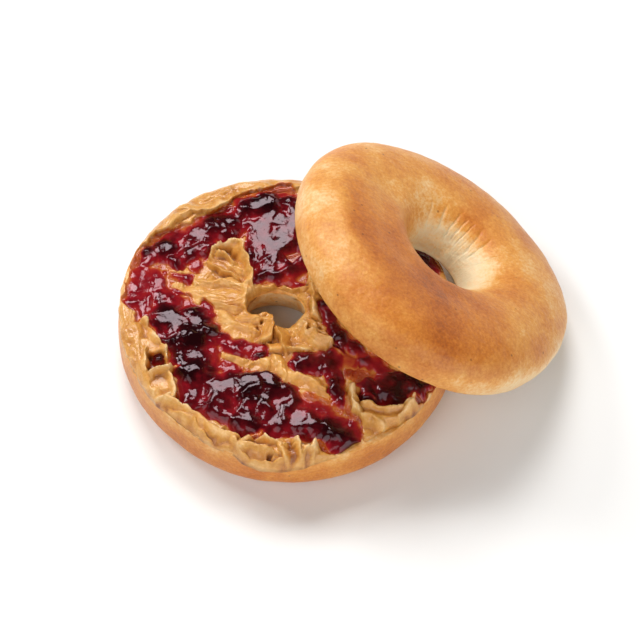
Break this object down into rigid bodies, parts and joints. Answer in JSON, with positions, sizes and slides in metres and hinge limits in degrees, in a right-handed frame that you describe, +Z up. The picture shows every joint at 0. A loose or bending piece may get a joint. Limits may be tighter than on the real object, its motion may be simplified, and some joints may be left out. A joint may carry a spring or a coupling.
{
  "type": "bagel sandwich",
  "caption": "Open bagel sandwich: lower half spread with peanut butter and dark jam, upper half leaning crust up against it, one edge down on the table.",
  "frame": {"origin": "on the table, under the middle of the sandwich's bounding box", "axes": "+X along the longest extent, from the lower half to the edge of the upper half that is down on the table; +Y to the back; +Z up"},
  "size_m": [0.1594, 0.1274, 0.0686],
  "materials": {
    "lower_bread": "baked crust with a pale cut face of crumb",
    "peanut_butter": "smooth peanut butter, soft satin",
    "jam": "wet, glossy, dark purple red where thick",
    "upper_crust": "boiled and baked crust, golden brown with a soft shine"
  },
  "bodies": {
    "root": {"bagel_bottom": "lower_bread", "peanut_butter": "peanut_butter", "jam": "jam", "bagel_top": "upper_crust"}
  },
  "joints": []
}
